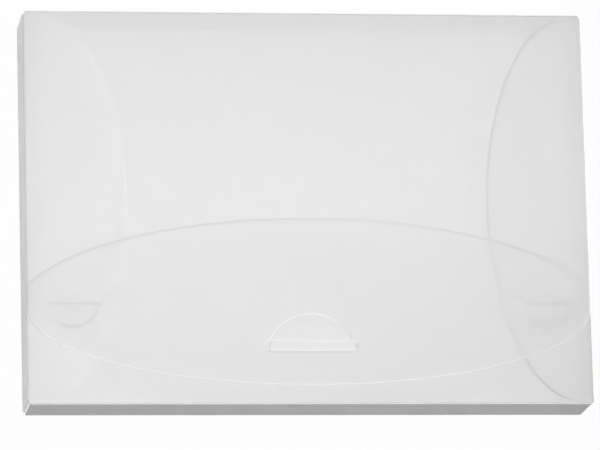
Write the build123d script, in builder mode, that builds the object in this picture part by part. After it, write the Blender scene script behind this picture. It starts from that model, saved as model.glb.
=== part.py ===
from build123d import *
from math import acos, asin, atan2, cos, degrees, hypot, radians, sin, sqrt
import os

# Document box for A4 papers, folded from one die-cut and creased sheet of polypropylene.
# It lies closed on its back: X runs across the width, Y up the page, Z through the depth.
# The origin is the middle of the back panel's outer face. All sizes are in millimetres.

# Outside sizes of the closed box
width = 320.0
height = 225.5
depth = 36.5

# The sheet, its layers and its creases
sheet = 0.8
layer_gap = 0.1  # air between two layers that lie on each other
crease_gap = 0.1  # between a crease and the panel ends that it joins
corner_gap = 0.8  # from a wall's end to the spine that it meets at a corner
edge_inset = 0.4  # the lid's and the front panel's side edges lie this far inside the walls
corner_radius = 1.7  # rounding of the free corners

# The lid's lower edge, a half ellipse as wide as the lid
lid_margin = 10.8  # from the foot of the page up to the lid's lowest point
lid_curve = 43.4  # from there up to where the lid's sides start

# The front panel's upper edge, the top of an ellipse that is wider than the panel
front_height = 106.5  # from the foot of the page up to the panel's highest point
front_curve = 56.0
front_overrun = 8.0  # the ellipse would reach this far past each side

# The side flaps, whose free edges are half ellipses
flap_width = 57.5
flap_shoulder = 7.5  # straight part of each flap's ends

# The lock in the middle: a half-moon tongue in the lid, and a slot in the front panel
lid_lock_height = 30.3  # from the foot of the page up to the tongue's crease
lid_lock_radius = 25.0
lid_lock_drop = 4.3  # the half-moon's centre lies this far behind the crease
lid_lock_reach = 5.7  # from the crease to the edge that the tongue tucks under
relief_overhang = 1.35  # rounded relief slot in the lid, past the half-moon on each side

# The two side locks: half-moon tongues in the front panel, and slots in the side flaps
side_lock_inset = 26.0  # from the box's side to the tongue's middle
side_lock_height = 57.4
side_lock_radius = 14.0
side_lock_drop = 1.0
side_lock_reach = 5.7

# Clearances of the locks
die_cut_gap = 0.25  # between a tongue's outline and the hole that it is cut from
tuck_clearance = 0.3  # between a tongue and the edge that it tucks under
slot_side_clearance = 1.0
slot_back_clearance = 0.3
slot_corner = 1.5

# Planes and lines that the panels share: creases turn on the middle of the sheet
half_sheet = sheet / 2
panel_start = half_sheet + crease_gap
back_z = half_sheet
lid_z = depth - half_sheet
front_z = lid_z - sheet - layer_gap
flap_z = front_z - sheet - layer_gap
side_x = width / 2 - half_sheet
end_y = height / 2 - half_sheet
foot_y = -height / 2

# Half lengths of the folded edges, and half widths of the two panels on top
spine_half = width / 2 - sheet - corner_gap
wall_half = height / 2 - sheet - corner_gap
cover_half = width / 2 - edge_inset

lid_lock_y = foot_y + lid_lock_height
side_lock_y = foot_y + side_lock_height
side_lock_x = width / 2 - side_lock_inset


def chord(radius, drop):
    """Width of a half-moon along its crease."""
    return 2 * sqrt(radius**2 - drop**2)


def lean(reach):
    """Angle in degrees at which a tongue just passes under an edge that is reach from its crease."""
    under = half_sheet + layer_gap + sheet + tuck_clearance
    return degrees(atan2(under, reach) + asin(half_sheet / hypot(reach, under)))


def half_moon(radius, drop, start):
    """A disc centred drop behind the crease, kept from start in front of it. The crease lies on X."""
    with BuildSketch() as moon:
        with Locations((0, -drop)):
            Circle(radius)
        with Locations((0, start)):
            Rectangle(2 * radius, 2 * radius, align=(Align.CENTER, Align.MIN), mode=Mode.INTERSECT)
    return moon.sketch


def slot(radius, drop, reach):
    """The slot that takes a half-moon tongue, from behind its crease to the edge it tucks under."""
    back = half_sheet + slot_back_clearance
    with BuildSketch() as opening:
        with Locations((0, -back)):
            RectangleRounded(
                chord(radius, drop) + 2 * slot_side_clearance,
                reach + back,
                slot_corner,
                align=(Align.CENTER, Align.MIN),
            )
    return opening.sketch


def keep(piece, name):
    """Label a finished piece and write it to its own file."""
    piece.part.label = name
    export_step(piece.part, f"parts/{name}.step")


def crease(middle, along, length, name):
    """A living hinge: a round bead as thick as the sheet, on the line that its panels turn about."""
    with BuildPart() as bead:
        with BuildSketch(Plane(origin=middle, z_dir=along)):
            Circle(half_sheet)
        extrude(amount=length / 2, both=True)
    keep(bead, name)


os.makedirs("parts", exist_ok=True)

# Back panel, flat on the table
with BuildPart() as back_panel:
    with BuildSketch(Plane.XY.offset(back_z)):
        RectangleRounded(2 * (side_x - panel_start), 2 * (end_y - panel_start), corner_radius)
    extrude(amount=half_sheet, both=True)
keep(back_panel, "back_panel")

# Bottom spine, up to the front panel
with BuildPart() as bottom_spine:
    with BuildSketch(Plane.XZ.offset(end_y)):
        with Locations((0, (back_z + front_z) / 2)):
            Rectangle(2 * spine_half, front_z - back_z - 2 * panel_start)
    extrude(amount=half_sheet, both=True)
keep(bottom_spine, "bottom_spine")

# Top spine, up to the lid
with BuildPart() as top_spine:
    with BuildSketch(Plane.XZ.offset(-end_y)):
        with Locations((0, (back_z + lid_z) / 2)):
            Rectangle(2 * spine_half, lid_z - back_z - 2 * panel_start)
    extrude(amount=half_sheet, both=True)
keep(top_spine, "top_spine")

# Side walls, up to the side flaps
with BuildPart() as right_wall:
    with BuildSketch(Plane.YZ.offset(side_x)):
        with Locations((0, (back_z + flap_z) / 2)):
            Rectangle(2 * wall_half, flap_z - back_z - 2 * panel_start)
    extrude(amount=half_sheet, both=True)
keep(right_wall, "right_wall")

with BuildPart() as left_wall:
    mirror(right_wall.part, about=Plane.YZ)
keep(left_wall, "left_wall")

# Side flaps: straight shoulders, then a half ellipse from end to end
with BuildPart() as right_flap:
    root_x = side_x - panel_start
    shoulder_x = width / 2 - flap_shoulder
    with BuildSketch(Plane.XY.offset(flap_z)):
        with BuildLine():
            free_edge = EllipticalCenterArc(
                (shoulder_x, 0), flap_width - flap_shoulder, wall_half, start_angle=90, arc_size=180
            )
            Polyline(free_edge @ 1, (root_x, -wall_half), (root_x, wall_half), free_edge @ 0)
        make_face()
        with Locations(Location((side_lock_x, side_lock_y, 0), (0, 0, 180))):
            add(slot(side_lock_radius, side_lock_drop, side_lock_reach), mode=Mode.SUBTRACT)
    extrude(amount=half_sheet, both=True)
keep(right_flap, "right_flap")

with BuildPart() as left_flap:
    mirror(right_flap.part, about=Plane.YZ)
keep(left_flap, "left_flap")

# Front panel: the top of an ellipse, a slot for the lid's tongue and the holes of its own tongues
with BuildPart() as front_panel:
    front_x_radius = cover_half + front_overrun
    front_centre_y = foot_y + front_height - front_curve
    arc_start = degrees(acos(cover_half / front_x_radius))
    front_root_y = -end_y + panel_start
    with BuildSketch(Plane.XY.offset(front_z)):
        with BuildLine():
            upper_edge = EllipticalCenterArc(
                (0, front_centre_y),
                front_x_radius,
                front_curve,
                start_angle=arc_start,
                arc_size=180 - 2 * arc_start,
            )
            Polyline(
                upper_edge @ 1,
                (-cover_half, front_root_y),
                (cover_half, front_root_y),
                upper_edge @ 0,
            )
        front_face = make_face()
        fillet(front_face.vertices(), corner_radius)
        with Locations((0, lid_lock_y)):
            add(slot(lid_lock_radius, lid_lock_drop, lid_lock_reach), mode=Mode.SUBTRACT)
        side_hole = half_moon(side_lock_radius + die_cut_gap, side_lock_drop, -panel_start)
        for side in (-1, 1):
            with Locations(Location((side * side_lock_x, side_lock_y, 0), (0, 0, 180))):
                add(side_hole, mode=Mode.SUBTRACT)
    extrude(amount=half_sheet, both=True)
keep(front_panel, "front_panel")

# Lid: straight sides, then a half ellipse, with the half-moon hole and its rounded relief slot
with BuildPart() as lid:
    relief_height = lid_lock_reach + panel_start
    relief_length = 2 * (lid_lock_radius + relief_overhang)
    with BuildSketch(Plane.XY.offset(lid_z)):
        with BuildLine():
            lower_edge = EllipticalCenterArc(
                (0, foot_y + lid_margin + lid_curve),
                cover_half,
                lid_curve,
                start_angle=180,
                arc_size=180,
            )
            Polyline(
                lower_edge @ 1,
                (cover_half, end_y - panel_start),
                (-cover_half, end_y - panel_start),
                lower_edge @ 0,
            )
        lid_face = make_face()
        fillet(lid_face.vertices().group_by(Axis.Y)[-1], corner_radius)
        with Locations((0, lid_lock_y)):
            add(
                half_moon(lid_lock_radius + die_cut_gap, lid_lock_drop, -panel_start),
                mode=Mode.SUBTRACT,
            )
        with Locations((0, lid_lock_y + (lid_lock_reach - panel_start) / 2)):
            SlotOverall(relief_length, relief_height, mode=Mode.SUBTRACT)
    extrude(amount=half_sheet, both=True)
keep(lid, "lid")

# The lid's tongue, leaning in under the front panel
lid_lean = radians(lean(lid_lock_reach))
with BuildPart() as lid_tongue:
    tongue_plane = Plane(
        origin=(0, lid_lock_y, lid_z),
        x_dir=(1, 0, 0),
        z_dir=(0, sin(lid_lean), cos(lid_lean)),
    )
    with BuildSketch(tongue_plane):
        add(half_moon(lid_lock_radius, lid_lock_drop, panel_start))
    extrude(amount=half_sheet, both=True)
keep(lid_tongue, "lid_tongue")

# The front panel's tongues, leaning in under the side flaps
side_lean = radians(lean(side_lock_reach))
for side, name in ((-1, "left_front_tongue"), (1, "right_front_tongue")):
    with BuildPart() as front_tongue:
        tongue_plane = Plane(
            origin=(side * side_lock_x, side_lock_y, front_z),
            x_dir=(-1, 0, 0),
            z_dir=(0, -sin(side_lean), cos(side_lean)),
        )
        with BuildSketch(tongue_plane):
            add(half_moon(side_lock_radius, side_lock_drop, panel_start))
        extrude(amount=half_sheet, both=True)
    keep(front_tongue, name)
    crease(
        (side * side_lock_x, side_lock_y, front_z),
        (1, 0, 0),
        chord(side_lock_radius, side_lock_drop) - 2 * crease_gap,
        f"crease_{name}",
    )

crease((0, lid_lock_y, lid_z), (1, 0, 0), relief_length - relief_height, "crease_lid_tongue")

# The long creases of the two spines
crease((0, end_y, back_z), (1, 0, 0), 2 * spine_half, "crease_back_to_top_spine")
crease((0, end_y, lid_z), (1, 0, 0), 2 * spine_half, "crease_top_spine_to_lid")
crease((0, -end_y, back_z), (1, 0, 0), 2 * spine_half, "crease_back_to_bottom_spine")
crease((0, -end_y, front_z), (1, 0, 0), 2 * spine_half, "crease_bottom_spine_to_front")

# The long creases of the two walls
for side, name in ((-1, "left"), (1, "right")):
    crease((side * side_x, 0, back_z), (0, 1, 0), 2 * wall_half, f"crease_back_to_{name}_wall")
    crease((side * side_x, 0, flap_z), (0, 1, 0), 2 * wall_half, f"crease_{name}_wall_to_flap")
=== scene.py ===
# %% [markdown]
# A folding document box of frosted polypropylene, lying on its back.
# The real box is one sheet, cut by a die and creased. It is folded round its back panel, and
# half-moon tongues that tuck through slots hold its layers together.
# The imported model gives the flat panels, and they stay as they are. This lesson gives them their
# translucent finish, and makes the creases, where the sheet itself bends.

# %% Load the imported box
from math import acos, degrees, pi, radians, tan

import bpy
import numpy as np
from mathutils import Euler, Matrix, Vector


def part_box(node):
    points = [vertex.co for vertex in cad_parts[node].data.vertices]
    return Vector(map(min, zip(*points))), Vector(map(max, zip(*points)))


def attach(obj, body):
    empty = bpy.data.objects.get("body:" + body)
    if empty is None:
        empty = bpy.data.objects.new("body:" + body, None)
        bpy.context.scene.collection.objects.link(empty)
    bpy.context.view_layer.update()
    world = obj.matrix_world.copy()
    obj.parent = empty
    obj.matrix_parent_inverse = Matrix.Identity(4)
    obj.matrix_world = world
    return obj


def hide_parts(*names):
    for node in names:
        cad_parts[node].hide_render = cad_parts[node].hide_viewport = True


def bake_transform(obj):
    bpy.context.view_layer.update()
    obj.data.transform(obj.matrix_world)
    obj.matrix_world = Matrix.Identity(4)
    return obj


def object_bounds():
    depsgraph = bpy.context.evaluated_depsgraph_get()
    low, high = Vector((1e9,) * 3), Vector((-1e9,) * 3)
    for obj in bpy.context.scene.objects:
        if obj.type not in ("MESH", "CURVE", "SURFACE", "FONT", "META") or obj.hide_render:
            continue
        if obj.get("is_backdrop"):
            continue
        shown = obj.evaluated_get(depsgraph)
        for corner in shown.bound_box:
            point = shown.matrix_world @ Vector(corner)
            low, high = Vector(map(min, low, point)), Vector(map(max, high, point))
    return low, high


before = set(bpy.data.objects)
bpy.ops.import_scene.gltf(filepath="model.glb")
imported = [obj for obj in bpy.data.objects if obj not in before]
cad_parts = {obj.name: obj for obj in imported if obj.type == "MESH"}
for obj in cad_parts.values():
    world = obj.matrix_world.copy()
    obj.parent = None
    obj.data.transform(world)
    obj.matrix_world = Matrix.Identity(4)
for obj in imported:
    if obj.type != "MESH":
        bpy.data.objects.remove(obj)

MM = 0.001  # the frame is in metres
box_low, box_high = (Vector(corner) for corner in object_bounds())
print("box in mm:", [round(side / MM, 2) for side in box_high - box_low])

# %% [markdown]
# The photograph was taken from about three metres with a long lens, a little from the left and
# from below, so the bottom spine and the left wall show as narrow strips.
# A camera can be aimed by a Track To constraint or by numbers. The numbers are better here: the
# corners and edges that the photograph shows fix the three turns and the distance to a pixel.

# %% The camera of the photograph
lens_mm = 324.3
turns_deg = (12.34, -7.74, 0.21)  # about X, then Y, then the line of sight
aim = (-0.0026, 0.1077, 3.0577)  # from the middle of the box's foot, along the camera's own axes

camera_turn = Euler([radians(turn) for turn in turns_deg], "ZYX").to_matrix()
camera_data = bpy.data.cameras.new("photo_camera")
camera_data.lens = lens_mm
camera = bpy.data.objects.new("photo_camera", camera_data)
bpy.context.scene.collection.objects.link(camera)
camera.matrix_world = camera_turn.to_4x4()
camera.location = Vector((0, box_low.y, 0)) + camera_turn @ Vector(aim)
bpy.context.scene.camera = camera
print("camera in metres at", [round(place, 3) for place in camera.location])

# %% [markdown]
# Every finish here is a few formulas over a point of the surface: how far it lies from a cut
# edge, and a little noise. Wiring Math nodes by hand hides such formulas, so one small class
# wraps a socket, and Python's own operators add the nodes.

# %% Formulas that become nodes
class Signal:
    """A value that varies over the surface. Arithmetic on it adds Math nodes to its tree."""

    def __init__(self, tree, socket=None):
        self.tree, self.socket = tree, socket

    def node(self, kind, settings, sockets, output=0):
        """Add any node: its settings first, then values or Signals by socket name or number."""
        made = self.tree.nodes.new(kind)
        for name, value in settings.items():
            setattr(made, name, value)
        for name, value in sockets.items():
            if isinstance(value, Signal):
                self.tree.links.new(value.socket, made.inputs[name])
            else:
                made.inputs[name].default_value = value
        return Signal(self.tree, made.outputs[output] if made.outputs else None)

    def math(self, operation, *values):
        return self.node("ShaderNodeMath", {"operation": operation}, dict(enumerate(values)))

    def __add__(self, other):
        return self.math("ADD", self, other)

    def __sub__(self, other):
        return self.math("SUBTRACT", self, other)

    def __rsub__(self, other):
        return self.math("SUBTRACT", other, self)

    def __mul__(self, other):
        return self.math("MULTIPLY", self, other)

    def __truediv__(self, other):
        return self.math("DIVIDE", self, other)

    __radd__, __rmul__ = __add__, __mul__

    def __abs__(self):
        return self.math("ABSOLUTE", self)

    def most(self, other):
        return self.math("MAXIMUM", self, other)

    def least(self, other):
        return self.math("MINIMUM", self, other)

    def length(self, other):
        """Length of the vector with these two components."""
        return self.math("SQRT", self * self + other * other)

    def fade(self, reach):
        """1 where this value is 0 or less, falling smoothly to 0 at reach."""
        smooth = {"interpolation_type": "SMOOTHSTEP"}
        sockets = {"Value": self, "From Min": 0.0, "From Max": reach, "To Min": 1.0, "To Max": 0.0}
        return self.node("ShaderNodeMapRange", smooth, sockets)


# %% The start of a material
def surface_start(name):
    """A new material, and a point of the surface in millimetres."""
    material = bpy.data.materials.new(name)
    material.use_nodes = True
    material.node_tree.nodes.clear()
    start = Signal(material.node_tree)
    place = start.node("ShaderNodeTexCoord", {}, {}, "Object")
    in_mm = {"operation": "SCALE"}
    return material, start.node("ShaderNodeVectorMath", in_mm, {"Vector": place, "Scale": 1 / MM})


# %% Distances to the outlines that the die cuts
least_steepness = 1e-6  # so that nothing is divided by zero in the middle of an ellipse
crease_steepness = 8.0


def ellipse_distance(x, y, x_radius, y_radius):
    """About how far outside an ellipse a point is: |p/r| (|p/r| - 1) / |p/r²|, below 0 inside."""
    scaled = (x / x_radius).length(y / y_radius)
    steepness = (x / x_radius**2).length(y / y_radius**2).most(least_steepness)
    return scaled * (scaled - 1.0) / steepness


def rounded_box_distance(x, y, half_x, half_y, corner):
    """How far outside a rectangle with round corners a point is: the length of what reaches past."""
    past_x = abs(x) - (half_x - corner)
    past_y = abs(y) - (half_y - corner)
    return past_x.most(0.0).length(past_y.most(0.0)) - corner + past_x.most(past_y).least(0.0)


def half_moon_distance(x, y, radius, drop):
    """How far outside a half-moon a point is: a disc centred drop below its straight side, at y = 0.

    That side is a crease and no cut, so the distance grows fast there and leaves no border.
    """
    return (x.length(y + drop) - radius).most(y * -crease_steepness)


# %% [markdown]
# Light runs inside the sheet and leaves it at the cuts. In the photograph a cut glows where it
# faces down or right, and is grey where it faces up or left.
# Rays through a solid sheet would show this only after very many samples, so the glow is painted
# into the colour and the emission, and the grey is painted shade. Every panel therefore has a
# formula for the distance to its outline, and the slope of this distance tells which way the cut
# faces.

# %% Painted light and shade at the cuts
cut_reach = 1.2  # mm, how far the painted glow or the painted shade beside a cut reaches
line_reach = 0.1  # mm, how far the painted glow of the cut itself reaches
# the ways in which cuts get their painted glow
down_right, rightward = (0.6, -0.8), (1.0, 0.0)
slope_step = 0.1  # mm
slope_gain = 2.0
full_glow_deg = round(degrees(acos(1 / slope_gain)))
print("a cut glows in full up to", full_glow_deg, "degrees from the way in which cuts glow")


def cut_light(x, y, z, outline, way):
    """How much the border of a cut glows, down to -1 where it is grey, and the share of the cut itself.

    outline gives the distance outside the sheet. Its change over a short step along way, in which
    cuts get a painted glow, is the share of the cut's outward direction that lies that way; where it
    is below 0 the border gets painted shade.
    """
    here = outline(x, y, z)
    there = outline(x + slope_step * way[0], y + slope_step * way[1], z)
    slope = ((there - here) * (slope_gain / slope_step)).most(-1.0).least(1.0)
    return abs(here).fade(cut_reach) * slope, abs(here).fade(line_reach)


# %% [markdown]
# The sheet is polypropylene with a fine frost. Where layers lie on each other they show each
# other's edges, and what lies deeper is only a glow.
# Alpha alone would blur nothing, and rough transmission alone hides the layers' edges, and is
# noisy. The real frost lets some light through unbent and scatters the rest, so the material
# does both: each face is half clear, and the other half is white with a share of rough glass.
# Every sheet gets a little painted shade beside the side walls and the foot, where the real sheet
# bows down.

# %% The frosted sheet
sheet_tone, tone_spread = 0.98, 0.05
clear_share = 0.5  # of each of the two faces
share_through = 0.35
sheet_ior = 1.49
frost_roughness, roughness_spread = 0.42, 0.12
frost_scale, frost_detail, frost_height = 1.2, 3.0, 0.02  # the scales are per mm, the heights in mm
cloud_scale, cloud_detail, cloud_height = 0.02, 1.0, 0.5
bump_strength = 0.3
# painted glow of a cut's border and of the cut itself, given off as emission, and how dark the painted
# shade is on cuts that face the other way
border_glow, cut_glow = 0.05, 0.28
painted_cut_shade = 0.8
half_width, foot = box_high.x / MM, box_low.y / MM
# painted shade beside the side walls and the foot: its reach in mm and its depth
wall_shade_reach, painted_wall_shade = 16.0, 0.03
print("share of light that crosses a whole sheet unbent:", clear_share**2)


def frosted(name, outline=None, way=down_right, grey=painted_cut_shade, gleam=1.0,
            clear=clear_share, tone=sheet_tone, glow=0.0):
    """Frosted sheet. outline(x, y, z) is how far, in mm, a point lies outside the cut sheet.

    way is the direction in which its cuts get a painted glow, gleam how strong that glow is, and grey
    how dark the painted shade on the others is, as a number or as a function of the point. clear is
    the share of light that a face lets through unbent, tone its white, and glow a painted glow that
    the whole sheet gives off.
    """
    material, point = surface_start(name)
    x, y, z = [point.node("ShaderNodeSeparateXYZ", {}, {"Vector": point}, axis) for axis in range(3)]
    frost_noise = {"Vector": point, "Scale": frost_scale, "Detail": frost_detail}
    cloud_noise = {"Vector": point, "Scale": cloud_scale, "Detail": cloud_detail}
    frost = point.node("ShaderNodeTexNoise", {}, frost_noise)
    cloud = point.node("ShaderNodeTexNoise", {}, cloud_noise)
    # painted shade: darker beside the side walls and the foot
    wall_nearness = (half_width - abs(x)).least(y - foot).fade(wall_shade_reach)
    colour = ((frost - 0.5) * tone_spread + tone) * (1.0 - wall_nearness * painted_wall_shade)
    emission = (glow, glow, glow, 1.0)
    if outline:
        # painted glow at cuts that face the way, in the colour and the emission, and painted shade at
        # the others
        light, at_cut = cut_light(x, y, z, outline, way)
        lit, shaded = light.most(0.0), (0.0 - light).most(0.0)
        darkest = grey(x, y, z) if callable(grey) else grey
        colour = colour * (1.0 - shaded * darkest) + lit * (1.0 - tone)
        emission = lit * (at_cut * cut_glow + border_glow) * gleam + glow
    height = frost * frost_height + cloud * cloud_height
    bump = {"Height": height, "Strength": bump_strength, "Distance": MM}
    sockets = {
        "Base Color": colour,
        "Roughness": (frost - 0.5) * roughness_spread + frost_roughness,
        "IOR": sheet_ior,
        "Alpha": 1.0 - clear,
        "Transmission Weight": share_through,
        "Emission Color": emission,
        "Emission Strength": 1.0,
        "Normal": point.node("ShaderNodeBump", {}, bump),
    }
    sheet_shader = point.node("ShaderNodeBsdfPrincipled", {}, sockets)
    point.node("ShaderNodeOutputMaterial", {}, {"Surface": sheet_shader})
    return material


# %% [markdown]
# The die cuts the lid as a U with a bowed foot, the front panel as a flat arc and the side flaps
# with a bowed free edge. Out of the lid and the front panel it cuts half-moon tongues, and into
# the front panel the slot that the lid's tongue tucks into.
# A painted mask could hold these lines, but none would stay sharp close by. The formulas do, and
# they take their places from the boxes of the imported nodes.

# %% Where the panels end and the tongues bend
def in_box(node):
    """Lowest and highest corner of a node, in millimetres."""
    return [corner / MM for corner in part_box(node)]


lid_low, lid_high = in_box("lid")
front_low, front_high = in_box("front_panel")
flap_low, flap_high = in_box("right_flap")
lock_low, lock_high = in_box("crease_lid_tongue")
side_low, side_high = in_box("crease_right_front_tongue")
lock_y, lock_z = (lock_low.y + lock_high.y) / 2, (lock_low.z + lock_high.z) / 2
side_x, side_y = (side_low.x + side_high.x) / 2, (side_low.y + side_high.y) / 2
print("the lid's tongue bends at y, z in mm:", round(lock_y, 2), round(lock_z, 2))
print("the front tongues bend at ±x, y in mm:", round(side_x, 2), round(side_y, 2))

# %% The outline of each panel
panel_start = 0.5  # from the line of a crease to its panels
lid_curve = 43.4
front_curve, front_overrun = 56.0, 8.0
flap_shoulder_x = 152.5
lock_radius, lock_drop = 25.25, 4.3  # the lid's half-moon hole
die_gap = 0.25  # between that hole and its tongue
relief_half, relief_radius, relief_rise = 26.35, 3.1, 2.6  # a round-ended cut along its straight side
slot_half_x, slot_half_y, slot_corner = 25.63, 3.2, 1.5
slot_start = -0.7  # the slot's lower side, above the crease of the lid's tongue
side_radius, side_drop = 14.25, 1.0  # the half-moon holes of the front panel


def lid_outline(x, y, z):
    """A U of straight sides and a half ellipse, less the hole of its lock."""
    edge = ellipse_distance(x, (y - (lid_low.y + lid_curve)).least(0.0), lid_high.x, lid_curve)
    above = y - lock_y
    moon = half_moon_distance(x, above, lock_radius, lock_drop)
    relief = rounded_box_distance(x, above - relief_rise, relief_half, relief_radius, relief_radius)
    return edge.most(0.0 - moon.least(relief))


def front_outline(x, y, z):
    """A flat arc above the foot's straight end, less the slot and the holes of the two tongues."""
    rise = (y - (front_high.y - front_curve)).most(0.0)
    edge = ellipse_distance(x, rise, front_high.x + front_overrun, front_curve).most(front_low.y - y)
    slot_middle = lock_y + slot_half_y + slot_start
    slot = rounded_box_distance(x, y - slot_middle, slot_half_x, slot_half_y, slot_corner)
    moon = half_moon_distance(abs(x) - side_x, side_y - y, side_radius, side_drop)
    return edge.most(0.0 - slot.least(moon))


def flap_outline(x, y, z):
    """A half ellipse between straight shoulders, on either side of the box."""
    inward = (abs(x) - flap_shoulder_x).least(0.0)
    return ellipse_distance(inward, y, flap_shoulder_x - flap_low.x, flap_high.y)


def lid_tongue_outline(x, y, z):
    """A half-moon, measured along the tongue from its crease, where it starts with a straight end."""
    out = (y - lock_y).length(z - lock_z)
    return (x.length(out + lock_drop) - (lock_radius - die_gap)).most(panel_start - out)


# %% [markdown]
# Sheets that touch hide less of each other than sheets with a gap, so the front panel, right under
# the lid, is clearer than the rest. The bottom spine is seen aslant, through more of its sheet, so
# it is less clear. The left flap lies nearer to the light, so it is given a painted glow, and its cut
# a stronger one. The lid's tongue has a painted glow too.
# One material for all would miss this, and a copy for each panel would repeat the whole recipe, so
# each panel calls the same function with what is different about it.

# %% A finish for each panel
# painted shade at the cuts of the front panel's tongues, on top of that at every cut
tongue_painted_shade = 0.1
tongue_margin, tongue_fade = 2.0, 2.0  # mm above the creases of the front tongues
lock_margin, lock_fade = 12.0, 4.0  # mm above the crease of the lid's tongue


def front_painted_shade(x, y, z):
    """Grey for the cuts of the front panel: more at its tongues, none at the slot in the lid's hole."""
    at_tongues = (y - (side_y + tongue_margin)).fade(tongue_fade)
    above_slot = (lock_y + lock_margin - y).fade(lock_fade)
    return above_slot * (at_tongues * tongue_painted_shade + painted_cut_shade)


# gleam sets the painted glow at the cuts, grey the painted shade, and glow a painted glow of a whole
# sheet
sheets = {
    "lid": frosted("lid_sheet", lid_outline, grey=0.2, gleam=1.4),
    "front_panel": frosted("front_sheet", front_outline, grey=front_painted_shade, clear=0.65),
    "left_flap": frosted("left_flap_sheet", flap_outline, rightward, gleam=2.2, glow=0.03),
    "right_flap": frosted("right_flap_sheet", flap_outline, rightward, grey=0.75),
    "lid_tongue": frosted("tongue_sheet", lid_tongue_outline, grey=0.2, glow=0.05),
    "bottom_spine": frosted("spine_sheet", clear=0.2, tone=1.0),
    "back_panel": frosted("plain_sheet"),
}
for name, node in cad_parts.items():
    node.data.materials.clear()
    node.data.materials.append(sheets.get(name, sheets["back_panel"]))
for name, finish in sheets.items():
    print("shader nodes in the finish of", name, len(finish.node_tree.nodes))

# %% [markdown]
# A crease is the sheet itself, pressed thin along a line, so that it bends there again and again.
# A round rod would show as a bead. Carrying one section along the crease is closer to the real
# thing: each face of the sheet is a smooth curve from panel to panel, and the inner one comes
# nearer, where the press has thinned the sheet.
#
# Two faults are left in this step, both under a millimetre in size. At the eight right-angled
# creases the test for the side that the second normal points to gives zero, so that normal points
# inward, and the two faces cross each other. And the flat ends of every bend face inward.

# %% The section of a bend
half_sheet = 0.4
seam = 0.03  # between a bend and the panel that it grows out of
pressed_thinning = 0.3
section_steps = 12
print("sheet in mm:", 2 * half_sheet, "and pressed in a crease:", 2 * half_sheet - pressed_thinning)


def bend_side(first, second, normals, offset, thinning):
    """One face of a bend, from first to second, as points of a cubic Bezier curve.

    It leaves each panel along that panel's own face, with handles 4/3 tan(a/4) / tan(a/2) times
    the way to where the two faces would meet, as for an arc of a. thinning then moves its middle
    out along the mean normal, by the square of a sine.
    """
    start, ends = panel_start - seam, []
    turn = np.arccos(np.clip(-first @ second, -1, 1))
    handle = 4 / 3 * tan(turn / 4) / tan(turn / 2) * (start + offset * tan(turn / 2))
    for direction, normal in zip((first, second), normals):
        ends.append(direction * start + normal * offset)
    t = np.linspace(0, 1, section_steps + 1)[:, None]
    points = (1 - t) ** 3 * ends[0] + t**3 * ends[1]
    points += 3 * t * (1 - t) ** 2 * (ends[0] - first * handle)
    points += 3 * t**2 * (1 - t) * (ends[1] - second * handle)
    outward = sum(normals) / np.linalg.norm(sum(normals))
    return points + outward * thinning * np.sin(pi * t) ** 2


# %% The section carried along its crease
sharp_edge_deg = 50


def signed_volume(mesh):
    """Sum over the triangles of a closed mesh: the corners' triple product over 6.

    The ends of a bend face inward, so for a bend it comes to a third of what the sides enclose.
    """
    corner = np.empty(len(mesh.vertices) * 3)
    mesh.vertices.foreach_get("co", corner)
    corner = corner.reshape(-1, 3)
    mesh.calc_loop_triangles()
    triangle = np.empty(len(mesh.loop_triangles) * 3, int)
    mesh.loop_triangles.foreach_get("vertices", triangle)
    a, b, c = corner[triangle.reshape(-1, 3)].transpose(1, 0, 2)
    return float(np.einsum("ij,ij->", a, np.cross(b, c))) / 6


def carried(name, section, half_length):
    """Mesh of a closed section, carried from half_length on one side to half_length on the other.

    The first half of its points is the outer face of the sheet, and the other half the inner one.
    Quads between the two faces close each end.
    """
    count = len(section)
    points = np.vstack([section + half_length, section - half_length]) * MM
    ring = np.arange(count)
    after = np.roll(ring, -1)
    sides = np.stack([ring, after, after + count, ring + count], 1)
    step = np.arange(section_steps)
    # The fault of the ends: along the edges that they share with the sides, these quads run the
    # same way as the sides do, so they face inward.
    cap = np.stack([step, step + 1, count - 2 - step, count - 1 - step], 1)
    mesh = bpy.data.meshes.new(name)
    mesh.from_pydata(points.tolist(), [], np.vstack([sides, cap, cap[:, ::-1] + count]).tolist())
    if signed_volume(mesh) < 0:
        mesh.flip_normals()
    mesh.shade_smooth()
    mesh.set_sharp_from_angle(angle=radians(sharp_edge_deg))
    return mesh


# %% A bend in place of a crease
def bend(name, first, second, outward, bodies, material):
    """A bend in place of the crease node of that name.

    first and second point from the crease to its two panels, and outward out of the first one.
    """
    low, high = (np.array(corner) for corner in in_box(name))
    along_axis = int(np.argmax(high - low))
    middle = (low + high) / 2
    half_length = np.eye(3)[along_axis] * (high - low)[along_axis] / 2
    first, second, outward = (np.array(v, float) for v in (first, second, outward))
    other = np.cross(second, np.cross(first, outward))
    # The fault of the crossing faces: at a right angle this product is zero, so -other is taken,
    # which points inward.
    normals = (outward, other if other @ outward > 0 else -other)
    outer = bend_side(first, second, normals, half_sheet, 0.0)
    inner = bend_side(first, second, normals, -half_sheet, pressed_thinning)
    mesh = carried(name, middle + np.vstack([outer, inner[::-1]]), half_length)
    mesh.materials.append(material)
    piece = bpy.data.objects.new(f"bend_{name.removeprefix('crease_')}", mesh)
    bpy.context.scene.collection.objects.link(piece)
    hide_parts(name)
    if len(bodies) == 1:
        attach(piece, bodies[0])
    else:
        across = (second - first) / np.linalg.norm(second - first)
        reach = abs(across @ inner[0])
        (middle - across * reach) * MM
        (middle + across * reach) * MM
        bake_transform(piece)
    return piece


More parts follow.
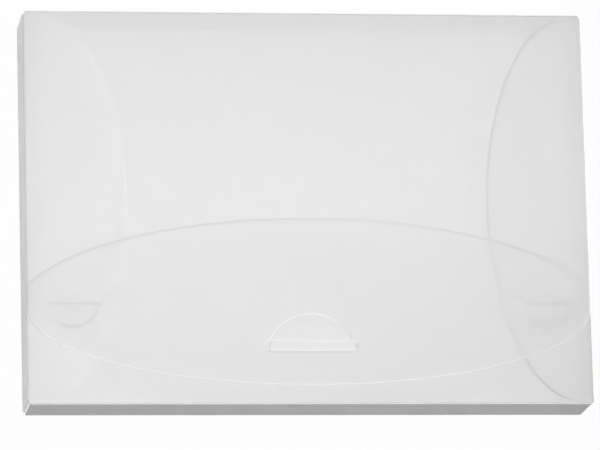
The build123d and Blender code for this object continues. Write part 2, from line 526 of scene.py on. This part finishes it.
def leaning(crease, tongue):
    """Unit direction from a tongue's crease along the tongue, from the boxes of the two nodes."""
    low, high = in_box(tongue)
    start = sum(in_box(crease), Vector()) / 2
    tip_y = low.y if start.y > high.y else high.y
    return Vector((0, tip_y - start.y, low.z - start.z)).normalized()


# %% The eleven bends
left, right, down, up = (-1, 0, 0), (1, 0, 0), (0, -1, 0), (0, 1, 0)
back, forth = (0, 0, -1), (0, 0, 1)
# Lit and shaded copies of one sheet: painted shade on most creases, deeper painted shade at the front
# tongues, and a painted glow on those at the foot and at the lid's tongue.
dull_crease = frosted("dull_crease", tone=0.85)
deep_crease = frosted("deep_crease", tone=0.66)
lit_crease = frosted("lit_crease", tone=1.0, glow=0.06)
finishes = dict.fromkeys(("crease_left_front_tongue", "crease_right_front_tongue"), deep_crease)
for crease in ("crease_back_to_bottom_spine", "crease_bottom_spine_to_front", "crease_lid_tongue"):
    finishes[crease] = lit_crease

box = ("box_body",)
bends = [
    ("crease_back_to_top_spine", down, forth, back, ("box_body", "spine_body")),
    ("crease_top_spine_to_lid", back, down, up, ("spine_body", "lid_body")),
    ("crease_back_to_bottom_spine", up, forth, back, box),
    ("crease_bottom_spine_to_front", back, up, down, box),
    ("crease_back_to_left_wall", right, forth, back, box),
    ("crease_left_wall_to_flap", back, right, left, box),
    ("crease_back_to_right_wall", left, forth, back, box),
    ("crease_right_wall_to_flap", back, left, right, box),
]
lid_tip = leaning("crease_lid_tongue", "lid_tongue")
front_tip = leaning("crease_left_front_tongue", "left_front_tongue")
bends.append(("crease_lid_tongue", down, lid_tip, forth, ("lid_body", "lid_tongue_body")))
for side in ("left", "right"):
    crease = f"crease_{side}_front_tongue"
    bends.append((crease, up, front_tip, forth, ("box_body", f"{side}_front_tongue_body")))
for crease, first, second, outward, bodies in bends:
    piece = bend(crease, first, second, outward, bodies, finishes.get(crease, dull_crease))
    print(piece.name, "signed volume in mm³:", round(signed_volume(piece.data) / MM**3, 1))

# %% [markdown]
# The floor is plain and pale, and the camera sees it as white, with a faint shadow of the box.
# A brighter lamp would whiten it too, but would bleach the box. Light Path tells the rays from the
# camera, from mirrors and through glass, which see white paper, from all others, which see a dark
# paper that throws little light back up through the sheets.

# %% The floor
def by_sight(start, lit, seen):
    """seen for rays from the camera, from mirrors and through glass, and lit for all others."""
    rays = [start.node("ShaderNodeLightPath", {}, {}, f"Is {ray} Ray") for ray in
            ("Camera", "Glossy", "Transmission")]
    sight = (rays[0] + rays[1] + rays[2]).least(1.0)
    return start.node("ShaderNodeMixShader", {}, {0: sight, 1: lit, 2: seen})


white = (1, 1, 1, 1)
floor_half = 6.0
floor_signs = ((-1, -1), (1, -1), (1, 1), (-1, 1))
floor_drop = 0.0002  # below the back panel, so that the two faces don't coincide
paper_grey = 0.06
paper_share = 0.03  # how much of the floor's own light and shadow the camera sees

floor_mesh = bpy.data.meshes.new("floor")
corners = [(x * floor_half, y * floor_half, -floor_drop) for x, y in floor_signs]
floor_mesh.from_pydata(corners, [], [(0, 1, 2, 3)])
floor = bpy.data.objects.new("floor", floor_mesh)
bpy.context.scene.collection.objects.link(floor)
floor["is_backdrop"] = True

floor_material, start = surface_start("floor_paper")
paper = start.node("ShaderNodeBsdfDiffuse", {}, {"Color": (paper_grey, paper_grey, paper_grey, 1)})
white_paper = start.node("ShaderNodeBsdfDiffuse", {}, {"Color": white})
glow = start.node("ShaderNodeEmission", {}, {"Color": white, "Strength": 1.0})
seen = start.node("ShaderNodeMixShader", {}, {0: paper_share, 1: glow, 2: white_paper})
start.node("ShaderNodeOutputMaterial", {}, {"Surface": by_sight(start, paper, seen)})
floor_mesh.materials.append(floor_material)
print("floor below the box, in mm:", floor_drop / MM)

# %% [markdown]
# The light is soft. A lamp far off would light the whole lid alike. The main one hangs half a
# metre over the middle, so the lid is brightest there and fades to its edges, as in the
# photograph. One lies low on the left, for the wall that the camera sees on that side, and a weak
# one lifts the corner at the top left.

# %% The room and the lamps
room_light = 0.1
world = bpy.data.worlds.new("studio")
world.use_nodes = True
world.node_tree.nodes.clear()
start = Signal(world.node_tree)
backdrop = start.node("ShaderNodeBackground", {}, {"Color": white, "Strength": 1.0})
room = start.node("ShaderNodeBackground", {}, {"Color": white, "Strength": room_light})
start.node("ShaderNodeOutputWorld", {}, {"Surface": by_sight(start, room, backdrop)})
bpy.context.scene.world = world


def soft_lamp(name, place, size, strength):
    """A lamp of that width and height, aimed at the box, whose light there is strength times white.

    At a distance d from a lamp of some watts, white paper shines with those watts over (pi d)².
    """
    place = Vector(place)
    lamp = bpy.data.lights.new(name, "AREA")
    lamp.shape = "RECTANGLE"
    lamp.size, lamp.size_y = size
    lamp.energy = strength * pi * pi * place.length_squared
    holder = bpy.data.objects.new(name, lamp)
    holder.matrix_world = place.to_track_quat("Z", "Y").to_matrix().to_4x4()
    holder.location = place
    holder.visible_camera = holder.visible_transmission = False
    bpy.context.scene.collection.objects.link(holder)
    print(name, "in watts:", round(lamp.energy, 3))


soft_lamp("front_softbox", (-0.005, 0.02, 0.5), (0.8, 0.2), 0.8)
soft_lamp("left_softbox", (-1.2, 0.0, 0.12), (0.6, 0.6), 0.34)
soft_lamp("corner_softbox", (-0.35, 0.3, 0.25), (0.2, 0.2), 0.07)

# %% [markdown]
# Light from the front crosses four to eight faces of sheet on its way through nearly all of the
# box, and twelve or more in the bends at its sides, and then as many again on its way back. Cycles
# stops a path after twelve bounces unless it is told otherwise, and a frosted box then goes grey.

# %% Light paths and colours
scene = bpy.context.scene
scene.view_settings.view_transform = "Standard"
most_bounces = 16
cycles = scene.cycles
cycles.max_bounces = cycles.diffuse_bounces = most_bounces
cycles.glossy_bounces = cycles.transmission_bounces = most_bounces
cycles.transparent_max_bounces = 2 * most_bounces
print("bounces:", most_bounces, "and through clear faces:", cycles.transparent_max_bounces)
